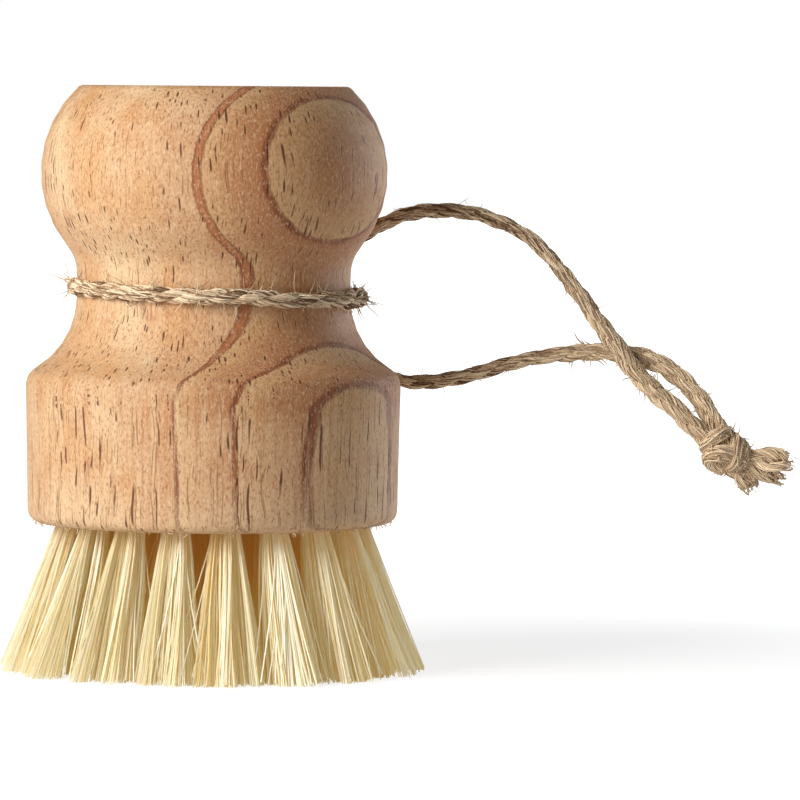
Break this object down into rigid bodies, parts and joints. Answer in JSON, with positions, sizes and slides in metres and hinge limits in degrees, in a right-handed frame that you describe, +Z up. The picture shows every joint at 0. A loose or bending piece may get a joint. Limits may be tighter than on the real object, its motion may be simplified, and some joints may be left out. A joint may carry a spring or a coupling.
{
  "type": "palm brush",
  "caption": "Round wooden palm brush with a knob grip, a waisted neck, a block of stiff trimmed fibre tufts underneath and a knotted twine hanging loop tied round the neck.",
  "frame": {"origin": "on the handle's axis, in the plane of the bristle tips", "axes": "+Z up along the handle's turned axis, -Y to the front, +X to the side that the loop hangs off to"},
  "size_m": [0.1075, 0.0556, 0.0792],
  "materials": {
    "wood": "bare sanded open-grained hardwood, unfinished",
    "bristle_fibre": "stiff pale plant fibre, cut level",
    "twine": "hairy two-ply jute twine",
    "anchor_wire": "flat drawn steel wire"
  },
  "bodies": {
    "brush": {"handle": "wood", "tuft_anchors": "anchor_wire", "tuft_center": "bristle_fibre", "tuft_inner_1": "bristle_fibre", "tuft_inner_2": "bristle_fibre", "tuft_inner_3": "bristle_fibre", "tuft_inner_4": "bristle_fibre", "tuft_inner_5": "bristle_fibre", "tuft_inner_6": "bristle_fibre", "tuft_middle_1": "bristle_fibre", "tuft_middle_10": "bristle_fibre", "tuft_middle_11": "bristle_fibre", "tuft_middle_12": "bristle_fibre", "tuft_middle_2": "bristle_fibre", "tuft_middle_3": "bristle_fibre", "tuft_middle_4": "bristle_fibre", "tuft_middle_5": "bristle_fibre", "tuft_middle_6": "bristle_fibre", "tuft_middle_7": "bristle_fibre", "tuft_middle_8": "bristle_fibre", "tuft_middle_9": "bristle_fibre", "tuft_outer_1": "bristle_fibre", "tuft_outer_10": "bristle_fibre", "tuft_outer_11": "bristle_fibre", "tuft_outer_12": "bristle_fibre", "tuft_outer_13": "bristle_fibre", "tuft_outer_14": "bristle_fibre", "tuft_outer_15": "bristle_fibre", "tuft_outer_16": "bristle_fibre", "tuft_outer_17": "bristle_fibre", "tuft_outer_18": "bristle_fibre", "tuft_outer_2": "bristle_fibre", "tuft_outer_3": "bristle_fibre", "tuft_outer_4": "bristle_fibre", "tuft_outer_5": "bristle_fibre", "tuft_outer_6": "bristle_fibre", "tuft_outer_7": "bristle_fibre", "tuft_outer_8": "bristle_fibre", "tuft_outer_9": "bristle_fibre"},
    "cord": {"neck_turn": "twine", "neck_knot": "twine", "loop_upper": "twine", "loop_lower": "twine", "end_knot": "twine", "tail_right": "twine", "tail_down": "twine"}
  },
  "joints": [
    {"name": "cord_swivel", "type": "hinge", "parent": "brush", "child": "cord", "pos_m": [0, 0, 0.0512], "axis": [0, 0, 1], "continuous": true}
  ]
}
